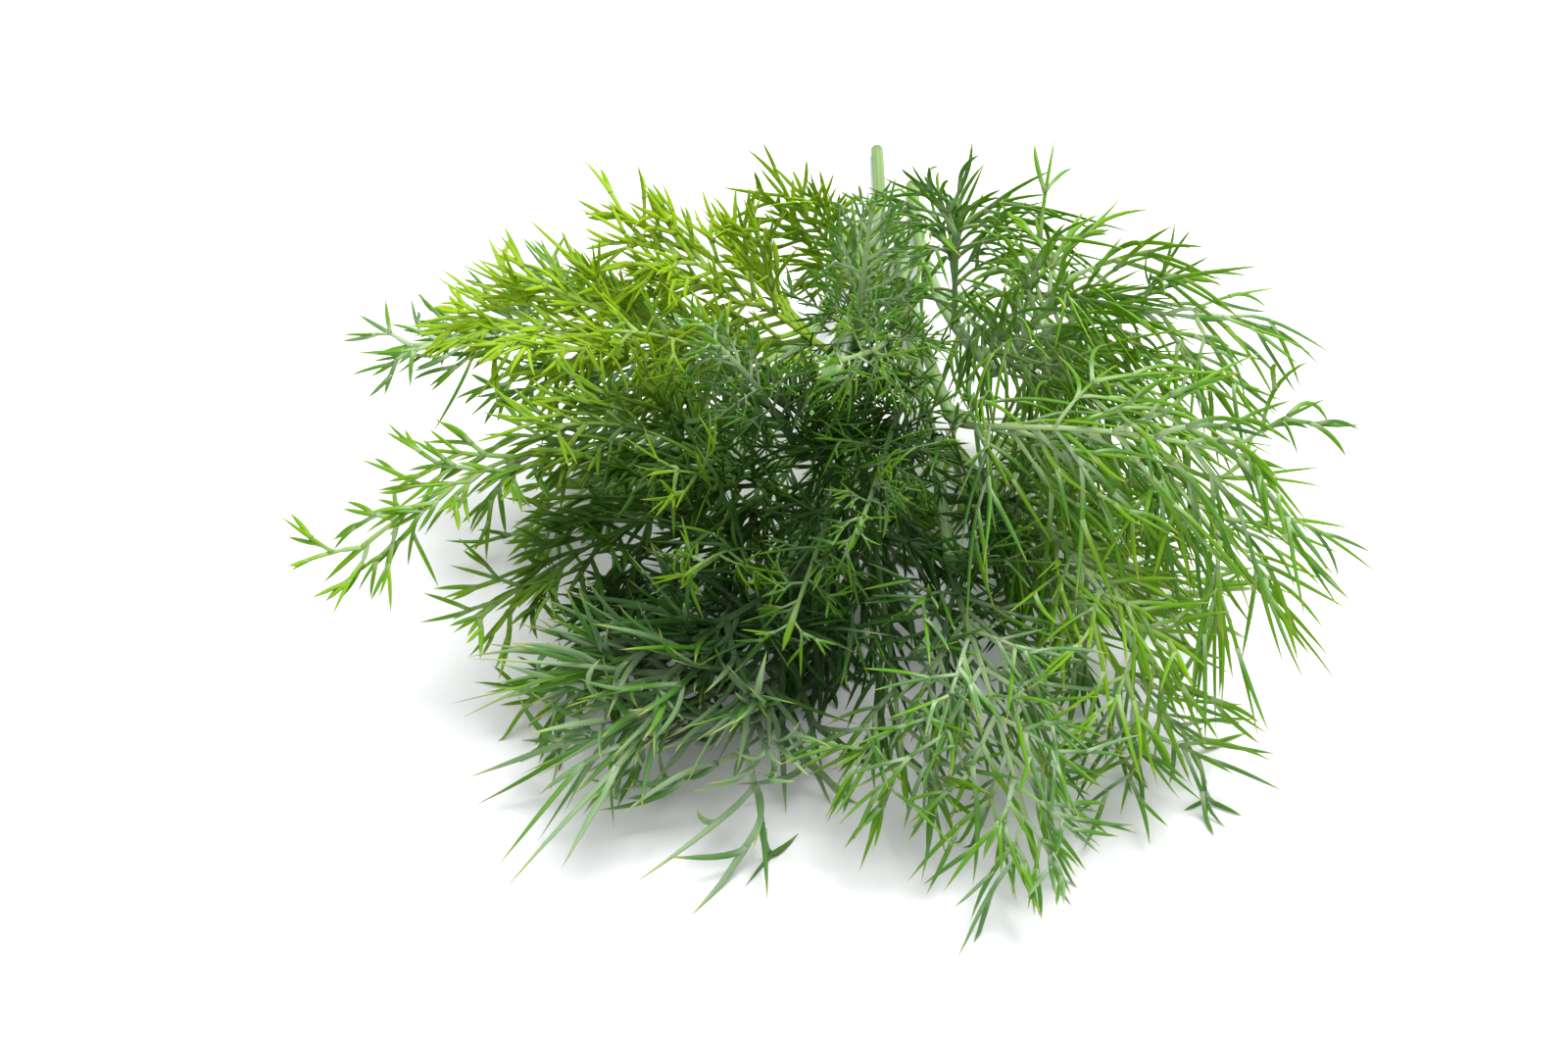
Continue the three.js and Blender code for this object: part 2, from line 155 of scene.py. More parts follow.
# %% [markdown]
# A few thin pale side shoots with curled tips stand up out of the leaves. They could be solids of
# their own, but they are so slight that they are grown only here, by the rule that grows a frond,
# and replace no packed solid.

# %% Side shoots, with the same columns as the fronds
SHOOTS = {
    "shoot_high":
        ("stem_middle", 0.9, (-10, -22, 56), (-30, -31, 59), 10, (0, -0.6, 0.8), "wiry", 0.75),
    "shoot_middle":
        ("stem_lower_left", 0.92, (-8, -40, 46), (-21, -50, 47), 9, (0, -0.6, 0.8), "wiry", 0.7),
    "shoot_low":
        ("stem_lower_left", 0.96, (-7, -50, 38), (-15, -62, 38), 9, (0, -0.6, 0.8), "wiry", 0.65),
}
LEAFY = FRONDS | SHOOTS
print(len(SHOOTS), "shoots, so", len(LEAFY), "leafy pieces")

# %% [markdown]
# ## Curves
# A Bezier curve needs only four points and gives the smooth, springy line of a stem. Blender has
# curve objects for this, but each thread must know how far along it is, for its taper and its
# colour, so the curves are worked out as arrays, and the meshes are built from those.

# %% Small curve tools
def unit(vectors):
    """The same directions with a length of 1."""
    vectors = np.asarray(vectors, float)
    return vectors / np.maximum(np.linalg.norm(vectors, axis=-1, keepdims=True), 1e-9)


def bezier(points, share):
    """Where a four-point curve is, at a share from 0 to 1 of the way along."""
    a, b, c, d = (np.asarray(p, float) for p in points)
    t = np.asarray(share, float)[..., None]
    return a * (1 - t) ** 3 + 3 * b * t * (1 - t) ** 2 + 3 * c * t * t * (1 - t) + d * t**3


def heading(points, t):
    """Which way the curve runs there."""
    a, b, c, d = (np.asarray(p, float) for p in points)
    return unit(3 * (1 - t) ** 2 * (b - a) + 6 * (1 - t) * t * (c - b) + 3 * t * t * (d - c))


print("a curve from 0 to 3 is halfway at", bezier([(i, 0, 0) for i in range(4)], 0.5)[0])

# %% The curve of a stem, and of a frond
LEAVING_SIDEWAYS = 0.45  # how far a side frond turns away from its stem's own direction
LEAD = 0.28  # the share of its reach over which a frond keeps its first direction


def stem_curve(name):
    column, layer, cut, keeps, slant, bend, top = STEMS[name]
    x, z = BUNDLE_X + column * BUNDLE_PITCH, STEM_RADIUS + layer * LAYER_RISE
    return np.array([(x, cut, z), (x + slant, keeps, z), bend, top], float)


def frond_curve(name):
    """A frond on a stem's end carries on in line with it. Any other leaves from the stem's side."""
    stem, at, bend, tip = LEAFY[name][:4]
    curve = stem_curve(stem)
    on, tangent = bezier(curve, at), heading(curve, at)
    bend, tip = np.array(bend, float), np.array(tip, float)
    out = bend - on
    out = unit(out - out.dot(tangent) * tangent)
    radius = STEM_RADIUS + (STEM_TOP_RADIUS - STEM_RADIUS) * at
    if at == 1:
        start, leaving = on + GAP * tangent, tangent
    else:
        start = on + (radius + MIDRIB_HALF + 2 * GAP) * out
        leaving = unit(tangent + LEAVING_SIDEWAYS * out)
    lead = LEAD * np.linalg.norm(tip - start) * leaving
    return np.array([start, start + lead, bend, tip]), on


print("frond_front_fan starts at", frond_curve("frond_front_fan")[0][0].round(1))

# %% [markdown]
# The packed model is centred on its own box, so the plan has to be moved by the same amount. The
# stems' boxes say by how much: a stem's box is found again from its own curve, and the difference
# of the two centres is the move.

# %% From the plan to the packed model
BOX_STEPS = 10  # points along a stem at which its box is measured


def plan_box(name):
    curve = bezier(stem_curve(name), np.linspace(0, 1, BOX_STEPS))
    ahead = unit(np.gradient(curve, axis=0))
    spread = np.sqrt(np.maximum(0, 1 - ahead**2))
    radius = np.linspace(STEM_RADIUS, STEM_TOP_RADIUS, BOX_STEPS)[:, None]
    return (curve - spread * radius).min(0), (curve + spread * radius).max(0)


moves = []
for name in STEMS:
    packed = np.array([list(corner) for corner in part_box(name)]) * 1000
    moves.append(packed.mean(0) - np.mean(plan_box(name), axis=0))
MOVE = np.median(moves, axis=0)
MOVE[2] = 0
print("the plan moves by", MOVE.round(2), "mm, stems agree to", np.ptp(moves, axis=0).round(2))

# %% [markdown]
# ## Room to grow
# The bunch's measured size is that of the packed model, so a branch may leave its box by no more
# than 3% of each side. Pressing points back into the box would flatten the tips against a wall.
# Instead, a branch that would go too far is drawn smaller, which only makes it a shorter branch.

# %% How far a branch may reach
OUTSIDE_SHARE = 0.03
THREAD_ROOM = 0.6  # for the thickness of the thread itself
packed_low, packed_high = (np.array(corner) * 1000 - MOVE for corner in packed_size)
ROOM_OUT = OUTSIDE_SHARE * (packed_high - packed_low) - THREAD_ROOM
HIGHEST, LOWEST = packed_high + ROOM_OUT, packed_low - ROOM_OUT
LOWEST[2] = -100  # the table stops them, further on
LEAST_FIT = 0.1  # no branch is drawn smaller than this share of itself


def shortened(base, points):
    """The same line, drawn smaller from its base if it would leave the room."""
    reach = points - base
    most = np.where(reach > 0, HIGHEST, LOWEST) - base
    fit = np.min(np.where(np.abs(reach) > 1e-6, most / np.where(reach == 0, 1, reach), 1))
    return base + reach * min(1, max(LEAST_FIT, fit))


print("a branch may reach", HIGHEST.round(1), "and", LOWEST.round(1))

# %% [markdown]
# ## Growing a frond
# A dill frond is divided three or four times. The midrib carries pairs of branches, each branch
# carries pairs of smaller ones, and the last ones are the leaf threads. Copies of one modelled
# branch would look stamped. A growing rule in short functions that call each other gives the same
# structure, and a little seeded chance in each angle and length makes every branch its own.

# %% [markdown]
# The kinds differ as the leaves in a bunch do: fine and dense near the middle, long and arching at
# the side, straight and needle-like near the front. Each kind has a thread length and half width in
# millimetres, the angle of a branch to its parent in degrees, how bushy it is (how far branches
# stand out of the frond's plane, in degrees), its droop, its curl, how close together its branches
# are as a share of a thread, how many pairs the midrib carries, and the share of it that is bare.

# %% Kinds of leaf
KIND_COLUMNS = ("thread", "half", "angle", "bush", "droop", "curl", "pitch", "pairs", "bare")
KIND_ROWS = {
    "fine": (5.0, 0.22, 42, 52, 0.05, 0.9, 0.40, 17, 0.12),
    "broad": (9.0, 0.37, 29, 32, 0.12, 0.9, 0.34, 17, 0.15),
    "long": (15.5, 0.34, 34, 54, 0.70, 1.3, 0.26, 13, 0.15),
    "needle": (13.0, 0.33, 35, 46, 0.20, 0.7, 0.26, 15, 0.15),
    "curly": (12.5, 0.46, 30, 54, 0.10, 3.2, 0.24, 13, 0.18),
    "wiry": (4.5, 0.30, 52, 60, 0.05, 3.4, 0.50, 9, 0.55),
}
KINDS = {kind: dict(zip(KIND_COLUMNS, row)) for kind, row in KIND_ROWS.items()}
# The way all threads of a kind lean as they grow.
SWEEP = {"curly": (-0.6, -0.1, 0.3), "long": (0.15, -0.35, 0)}
print("kinds of leaf:", ", ".join(KINDS))

# %% What a frond keeps while it grows
class Growth:
    """The threads of one frond, its kind of leaf, and its own source of chance."""

    def __init__(self, kind, tone, seed):
        self.kind, self.tone = KINDS[kind], tone
        self.sweep = np.array(SWEEP.get(kind, (0, 0, 0)))
        self.chance = np.random.default_rng(seed)
        self.threads = []

    def add(self, points, half, normal, leaf_from, level):
        """A thread is a line of points with a half width, and a number of chance for its colour."""
        thread = dict(points=points, half=half, normal=normal, leaf_from=leaf_from, level=level)
        self.threads.append(thread | {"chance": self.chance.uniform()})


print("a new growth has", len(Growth("fine", 0, 0).threads), "threads")

# %% The line of a branch
FORWARD_BEND = 0.35  # how far a branch turns back into its parent's direction
WANDER = 0.35  # how far chance turns it
LATE_CURL = 0.5  # how much of the curl comes in the outer part
LATE_BEND = 0.33


def bent_line(growth, base, ahead, length, forward, count):
    """A branch starts along ahead, then bends forward, down, and a little any way."""
    s = np.linspace(0, 1, count)[:, None]
    kind, free = growth.kind, growth.chance.normal(0, WANDER, (2, 3))
    bend = FORWARD_BEND * forward + kind["curl"] * free[0] + growth.sweep - (0, 0, kind["droop"])
    late = LATE_CURL * kind["curl"] * free[1]
    run = s * ahead + 0.5 * s**2 * bend + LATE_BEND * s**3 * late
    return shortened(base, base + length * run)


up_line = bent_line(Growth("fine", 0, 0), np.zeros(3), np.array((0, 0, 1)), 10, np.zeros(3), 8)
print("a fine branch of 10 mm ends at", up_line[-1].round(1))

# %% [markdown]
# A branch always ends in a leaf thread. One that is long enough also carries pairs of others, and a
# thread often splits into two or three points. The midrib is level 0, its branches are level 1, and
# nothing grows past level 4.

# %% A branch and its children
LEAF_LEVEL, POINT_LEVEL = 3, 4
BRANCH_LEAST = (0, 0.9, 1.5)  # in threads, by level: a shorter one is a single leaf thread
LEAF_STEPS, BRANCH_STEPS = 8, 12
LEAF_FROM = 0.35  # the first part of a branch that can't be leaf
FORK_LEAST = 0.65  # in threads
VARIES = (0.85, 1.15)


def branch(growth, base, ahead, forward, normal, length, level):
    thread = growth.kind["thread"]
    half = growth.kind["half"] * growth.chance.uniform(*VARIES)
    is_leaf = level >= LEAF_LEVEL or length < BRANCH_LEAST[level] * thread
    steps = LEAF_STEPS if is_leaf else BRANCH_STEPS
    points = bent_line(growth, base, ahead, length, forward, steps)
    growth.add(points, half, normal, 0.0 if is_leaf else max(LEAF_FROM, 1 - thread / length), level)
    if not is_leaf:
        grow_pairs(growth, points, length, normal, level)
    elif length > FORK_LEAST * thread and level < POINT_LEVEL:
        grow_fork(growth, points, length, normal)


print("a fine branch under", KINDS["fine"]["thread"] * BRANCH_LEAST[1], "mm is one thread")

# %% Pairs along a branch
FIRST_THREADS, FIRST_SHARE = 0.42, 0.25  # where the pairs start, in threads and as a share
LAST_THREADS, LAST_SHARE = 0.5, 0.72  # and where they end
SHIFT = 0.25  # of the distance between two pairs
CHILD_SHARE = 0.56  # of what is left of the parent
CHILD_LEAST = (0.55, 1.1)  # in threads


def grow_pairs(growth, points, length, normal, level):
    thread, chance = growth.kind["thread"], growth.chance
    first = min(FIRST_THREADS * thread, FIRST_SHARE * length)
    last = max(length - LAST_THREADS * thread, LAST_SHARE * length)
    number = max(1, round((last - first) / (growth.kind["pitch"] * thread)))
    for place in range(number):
        for side in (-1, 1):
            at = first + (last - first) * (place + 0.5 + chance.uniform(-SHIFT, SHIFT)) / number
            most = CHILD_SHARE * (length - at) * chance.uniform(*VARIES)
            least = thread * chance.uniform(*CHILD_LEAST)
            side_branch(growth, points, at / length, side, normal, max(most, least), level + 1)


print("a side branch has up to", CHILD_SHARE, "of the rest of its parent")

# %% The points of a thread
FORK_CHANCE = 0.55
FORK_PLACE = (0.25, 0.5)
POINT_SHARE = 0.62


def grow_fork(growth, points, length, normal):
    for side in (-1, 1):
        if growth.chance.uniform() < FORK_CHANCE:
            at = growth.chance.uniform(*FORK_PLACE)
            side_branch(growth, points, at, side, normal, POINT_SHARE * length, POINT_LEVEL)


print("a thread splits on each side with a chance of", FORK_CHANCE)

# %% Where a side branch stands
WIDER = (12, 5, -4, -8)  # degrees that each level opens more than its kind says
ANGLE_CHANCE = 7


def side_branch(growth, points, share, side, normal, length, level):
    """It stands to one side of its parent, rolled out of the plane by chance."""
    x = share * (len(points) - 1)
    i = min(int(x), len(points) - 2)
    step = points[i + 1] - points[i]
    base, tangent = points[i] + (x - i) * step, unit(step)
    across = side * unit(np.cross(tangent, normal))
    up = unit(np.cross(across, tangent) * side)
    roll = math.radians(growth.chance.normal(0, growth.kind["bush"]))
    across = across * math.cos(roll) + up * math.sin(roll)
    opening = growth.kind["angle"] + WIDER[level - 1]
    angle = math.radians(opening + growth.chance.normal(0, ANGLE_CHANCE))
    ahead = unit(math.cos(angle) * tangent + math.sin(angle) * across)
    branch(growth, base, ahead, tangent, unit(up - up.dot(ahead) * ahead), length, level)


print("a fine frond's first branches stand out by", KINDS["fine"]["angle"] + WIDER[0], "degrees")

# %% [markdown]
# A midrib carries pairs of branches, longest a little above its foot and shorter towards the tip,
# which gives the frond its feather shape. Most fronds follow that rule with their kind's numbers,
# and the few that don't are named here: one with a long bare stalk, and some that end early.

# %% Growing every frond
MIDRIB_STEPS = 33
MIDRIB_WIDTH, WIRY_WIDTH = 0.52, 0.3  # half widths
MIDRIB_LEAF_FROM = 0.9
MIDRIB_USED = 0.96  # the threads at its end reach on to the tip
TRIMMED = {
    "frond_top_back": 0.66,
    "frond_top_right": 0.72,
    "frond_right_back": 0.7,
    "frond_upper_left": 0.88,
    "frond_front_curled": 0.85,
}
BARE = {"frond_left_long": 0.46}
LAST_PAIR = 0.97
PAIR_SHIFT = 0.35  # of the distance between two pairs
FOOT_LENGTH, FULL_LENGTH_AT = 0.6, 0.25
TIP_POWER = 0.65  # the lower, the blunter the frond
BRANCH_VARIES = (0.85, 1.06)
FIRST_SEED = 100


def grow_frond(name, seed):
    reach, face, kind, tone = LEAFY[name][4:]
    growth = Growth(kind, tone, seed)
    curve, joint = frond_curve(name)
    curve[0] = joint
    points = bezier(curve, np.linspace(0, TRIMMED.get(name, MIDRIB_USED), MIDRIB_STEPS))
    face = unit(face)
    width = WIRY_WIDTH if kind == "wiry" else MIDRIB_WIDTH
    growth.add(points, width, face, MIDRIB_LEAF_FROM, 0)
    bare, least = BARE.get(name, growth.kind["bare"]), BRANCH_LEAST[1] * growth.kind["thread"]
    pairs = round(growth.kind["pairs"] * (1 - bare))
    for pair in range(pairs):
        up = pair / pairs
        full = FOOT_LENGTH + (1 - FOOT_LENGTH) * min(1, up / FULL_LENGTH_AT)
        for side in (-1, 1):
            shift = growth.chance.uniform(0, PAIR_SHIFT)
            share = bare + (LAST_PAIR - bare) * (pair + shift) / pairs
            length = reach * full * (1 - up) ** TIP_POWER * growth.chance.uniform(*BRANCH_VARIES)
            side_branch(growth, points, share, side, face, max(length, least), 1)
    return growth


growths = {name: grow_frond(name, FIRST_SEED + i) for i, name in enumerate(LEAFY)}
print("threads:", sum(len(growth.threads) for growth in growths.values()))

# %% [markdown]
# ## From lines to meshes
# A leaf thread is not a round wire. It is a narrow leaf, a little wider than it is thick, with a
# shallow channel along its upper side, and it ends in a point. So each line gets a ring of eight
# points at every step, with the upper one pushed in to make the channel, and the rings shrink
# towards the tip. A curve object with a bevel could give the tube, but not the channel and not the
# colour facts at each point, so the rings are laid out as one array and joined into one mesh.

# %% The width of a thread
RING_UPPER = [(1, 0), (0.72, 0.55), (0, 0.30), (-0.72, 0.55)]  # the middle one is the channel
RING_LOWER = [(-1, 0), (-0.72, -0.6), (0, -0.82), (0.72, -0.6)]
RING = np.array(RING_UPPER + RING_LOWER)
STALK_WIDTH, STALK_THINS = 1.2, 0.35
MIDRIB_FOOT, MIDRIB_THINS = 1.25, 0.75
LEAF_WIDTH, LEAF_SWELL = 0.74, 0.26
SWELL_STRETCH, SWELL_SKEW = 1.15, 0.8  # the swelling is over before the point, and leans back
POINT_LENGTH = 0.32  # the share of a leaf over which it narrows to its point
TIP_WIDTH = 0.02


def taper(share, leaf_share, level):
    """How wide a thread is: a branch thins slowly, and its leaf end swells and runs to a point."""
    stalk = np.maximum(STALK_WIDTH - STALK_THINS * share, LEAF_WIDTH)
    if level == 0:
        stalk = MIDRIB_FOOT - MIDRIB_THINS * share
    swollen = np.sin(np.pi * np.clip(leaf_share * SWELL_STRETCH, 0, 1) ** SWELL_SKEW)
    body = np.where(leaf_share > 0, LEAF_WIDTH + LEAF_SWELL * swollen, stalk)
    return body * np.sqrt(np.clip((1 - leaf_share) / POINT_LENGTH, 0, 1)) + TIP_WIDTH


along_leaf = np.linspace(0.05, 1, 20)
widest = along_leaf[np.argmax(taper(0, along_leaf, 2))]
print("a leaf is widest at", round(widest, 2), "of its length")

# %% [markdown]
# Four facts are kept at every point, for the materials to read. `along` is how far along its leaf
# it is, `tone` is the frond's tone, and `chance` is a number that is the same all over one thread.
# `deep` is how far inside the bunch it lies. The leaves in there are shaded from all sides, and
# the lamps alone leave them too pale, so the leaf material paints shade on them by this fact.

# %% Rings and facts
FACTS = ("along", "tone", "chance", "deep")
HEART, HEART_SIZE = np.array((0, -30, 17)), np.array((56, 44, 42))
HEART_EDGE = 1.15
FOOT_SWELL, FOOT_FADE = 0.6, 12  # a midrib is thicker where it joins its stem
ABOVE_TABLE = 0.1
THICKNESS = 0.8  # of a thread, against its width


def depth_inside(points):
    """1 in the heart of the bunch and 0 at its outside, as if the bunch were an egg."""
    return np.clip(HEART_EDGE - np.linalg.norm((points - HEART) / HEART_SIZE, axis=-1), 0, 1)


def thread_rings(thread, tone):
    level, leaf_from, points = thread["level"], thread["leaf_from"], thread["points"].copy()
    share = np.linspace(0, 1, len(points))
    leaf_share = np.clip((share - leaf_from) / (1 - leaf_from), 0, 1)
    half = thread["half"] * taper(share, leaf_share, level)
    if level == 0:
        half = half + FOOT_SWELL * np.exp(-share * FOOT_FADE)
    points[:, 2] = np.maximum(points[:, 2], half + ABOVE_TABLE)
    ahead = unit(np.gradient(points, axis=0))
    normal = unit(thread["normal"] - (ahead @ thread["normal"])[:, None] * ahead)
    across = np.cross(ahead, normal)
    wide = RING[None, :, :1] * across[:, None]
    high = THICKNESS * RING[None, :, 1:] * normal[:, None]
    facts = np.empty((len(points), len(RING), len(FACTS)))
    facts[..., 0] = leaf_share[:, None]
    facts[..., 1] = tone
    facts[..., 2] = thread["chance"]
    facts[..., 3] = depth_inside(points)[:, None]
    return points[:, None] + half[:, None, None] * (wide + high), facts


print("depth in the heart of the bunch:", depth_inside(HEART))

# %% [markdown]
# A tube's faces run from ring to ring, and a fan of faces closes each end. A map of baked colours
# also needs a place for every corner. An automatic unwrap would give so many thin threads no room
# to themselves, so each thread gets its own cell of the map instead. Where the sides of a tube look
# alike they share one patch, which gives each thread more of the map.

# %% Faces of a tube
CAP_BAND = 0.05  # how much of a patch each closed end uses


def tube_faces(rings, sides, start, shared):
    """Faces that point outwards, and each corner's place on the tube's patch of the colour map."""
    ring, side = np.meshgrid(np.arange(rings - 1), np.arange(sides), indexing="ij")
    ring, side = ring.ravel(), side.ravel()
    here, after = ring * sides + side, ring * sides + (side + 1) % sides
    left, right = (0 * side, 0 * side + 1) if shared else (side / sides, (side + 1) / sides)
    low, high = ring / (rings - 1), (ring + 1) / (rings - 1)
    tube = np.stack([here, here + sides, after + sides, after], -1)
    tube_places = np.stack([left, low, left, high, right, high, right, low], -1).reshape(-1, 4, 2)
    fan = np.array([(0, i + 1, i + 2, i + 3) for i in range(0, sides - 2, 2)])
    far = (rings - 1) * sides + fan[:, ::-1]
    near_place = np.array([(0, 0), (1, 0), (1, CAP_BAND), (0, CAP_BAND)])
    far_place = near_place + (0, 1 - CAP_BAND)
    caps = [np.tile(place, (len(fan), 1, 1)) for place in (near_place, far_place)]
    return np.concatenate([tube, fan, far]) + start, np.concatenate([tube_places, *caps])


print("a leaf thread has", len(tube_faces(LEAF_STEPS, len(RING), 0, True)[0]), "faces")

# %% One mesh from many tubes
def mesh_object(name, points, faces, places, facts):
    """An object in metres, in the packed model's frame, with its facts as point attributes."""
    points = (np.concatenate(points) + MOVE) / 1000
    faces, places, facts = np.concatenate(faces), np.concatenate(places), np.concatenate(facts)
    mesh = bpy.data.meshes.new(name)
    mesh.vertices.add(len(points))
    mesh.vertices.foreach_set("co", points.astype(np.float32).ravel())
    mesh.loops.add(faces.size)
    mesh.loops.foreach_set("vertex_index", faces.astype(np.int32).ravel())
    mesh.polygons.add(len(faces))
    mesh.polygons.foreach_set("loop_start", np.arange(0, faces.size, 4, dtype=np.int32))
    mesh.polygons.foreach_set("use_smooth", np.ones(len(faces), bool))
    mesh.update(calc_edges=True)
    mesh.uv_layers.new(name="OFBake").data.foreach_set("uv", places.astype(np.float32).ravel())
    for index, fact in enumerate(FACTS):
        attribute = mesh.attributes.new(fact, "FLOAT", "POINT")
        attribute.data.foreach_set("value", facts[:, index].astype(np.float32))
    made = bpy.data.objects.new(name, mesh)
    bpy.context.scene.collection.objects.link(made)
    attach(made, "root")
    return made


print("each mesh keeps the facts", ", ".join(FACTS))

# %% Every frond as one object
CELL_STRETCH = 1.5  # how many more columns than rows of cells
CELL_MARGIN = 0.1


def frond_object(name, growth):
    points, faces, places, facts, start = [], [], [], [], 0
    columns = math.ceil(math.sqrt(CELL_STRETCH * len(growth.threads)))
    rows = math.ceil(len(growth.threads) / columns)
    for number, thread in enumerate(growth.threads):
        ring, fact = thread_rings(thread, growth.tone)
        rings, sides = ring.shape[:2]
        more, patch = tube_faces(rings, sides, start, shared=True)
        cell = np.array((number % columns, number // columns))
        places.append((cell + CELL_MARGIN + (1 - 2 * CELL_MARGIN) * patch) / (columns, rows))
        points.append(ring.reshape(-1, 3))
        facts.append(fact.reshape(-1, len(FACTS)))
        faces.append(more)
        start += rings * sides
    made = mesh_object("leafy_" + name, points, faces, places, facts)
    if name in FRONDS:
        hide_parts(name)
    return made


fronds = {name: frond_object(name, growth) for name, growth in growths.items()}
face_counts = sorted((len(made.data.polygons), name) for name, made in fronds.items())
total = sum(count for count, _ in face_counts)
print("frond faces:", total, "most:", face_counts[-1], "least:", face_counts[0])

# %% [markdown]
# ## Stems
# A dill stem is a smooth, pale green tube with fine ribs that run its whole length, and a bluish
# bloom. A displacement could carve the ribs, but they are simple enough to put in the ring itself:
# the radius goes in and out around the circle. The cut end shows a ring of green around pale pith,
# so the end cap is built as two steps inwards.

# %% Ribbed stems
STEM_SIDES, STEM_STEPS = 36, 48
RIBS, RIB_DEPTH = 9, 0.045
PITH_STEPS = ((0.4, 0.22), (0.72, 0.12))  # share of the radius, and depth in millimetres
PITH_ALONG = (-1.0, -0.5)  # the pith lies before the start of the stem's skin
TOP_CLOSES_TO = 0.3


def stem_object(name):
    share = np.linspace(0, 1, STEM_STEPS)
    curve = bezier(stem_curve(name), share)
    ahead = unit(np.gradient(curve, axis=0))
    across = unit(np.cross(ahead, (0, 0, 1)))
    normal = np.cross(across, ahead)
    turn = np.linspace(0, 2 * np.pi, STEM_SIDES, endpoint=False)
    radius = (STEM_RADIUS + (STEM_TOP_RADIUS - STEM_RADIUS) * share)[:, None]
    rib = 1 - RIB_DEPTH * (0.5 + 0.5 * np.cos(RIBS * turn))[None]
    wide = np.cos(turn)[None, :, None] * across[:, None]
    high = np.sin(turn)[None, :, None] * normal[:, None]
    ring = curve[:, None] + (radius * rib)[..., None] * (wide + high)
    middle, top = curve[:1, None], curve[-1:, None]
    pith = [middle + (ring[:1] - middle) * out + ahead[:1, None] * deep for out, deep in PITH_STEPS]
    rings = np.concatenate([*pith, ring, top + (ring[-1:] - top) * TOP_CLOSES_TO])
    facts = np.zeros((len(rings), STEM_SIDES, len(FACTS)))
    facts[..., 0] = np.concatenate([PITH_ALONG, share, [1.0]])[:, None]
    facts[..., 2] = turn / (2 * math.pi)
    facts[..., 3] = depth_inside(rings.mean(1))[:, None]
    faces, places = tube_faces(len(rings), STEM_SIDES, 0, shared=False)
    points, facts = rings.reshape(-1, 3), facts.reshape(-1, len(FACTS))
    made = mesh_object("ribbed_" + name, [points], [faces], [places], [facts])
    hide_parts(name)
    return made


stems = {name: stem_object(name) for name in STEMS}
print("stems:", len(stems))

# %% [markdown]
# ## Writing shader maths
# A material is a graph of nodes. Sums written as Python are easier to read than a list of links, so
# a small class wraps a socket: adding or multiplying two of them makes the Math node for it. Every
# other node comes from one method that takes its type, its settings and its inputs.

# %% A socket that understands arithmetic
class Socket:
    def __init__(self, tree, socket):
        self.tree, self.socket = tree, socket

    def math(self, operation, *values, **settings):
        settings["operation"] = operation
        return self.tree.node("ShaderNodeMath", settings, dict(enumerate(values)))

    def __add__(self, other):
        return self.math("ADD", self, other)

    def __sub__(self, other):
        return self.math("SUBTRACT", self, other)

    def __rsub__(self, other):
        return self.math("SUBTRACT", other, self)

    def __mul__(self, other):
        return self.math("MULTIPLY", self, other)

    __radd__, __rmul__ = __add__, __mul__

    def sine(self):
        return self.math("SINE", self)

    def clamped(self):
        return self.math("MULTIPLY", self, 1.0, use_clamp=True)

    def between(self, low, high):
        """0 at low, 1 at high, and smooth in between."""
        settings = {"interpolation_type": "SMOOTHSTEP"}
        inputs = {"Value": self, "From Min": low, "From Max": high}
        return self.tree.node("ShaderNodeMapRange", settings, inputs)


print("a socket can", ", ".join(name for name in vars(Socket) if not name.startswith("_")))

# %% A material's tree of nodes
MIX_FACTOR, MIX_FIRST, MIX_SECOND, MIX_RESULT = 0, 6, 7, 2  # the Mix node's sockets for colours
BUMP_HEIGHT = 0.0002  # in metres


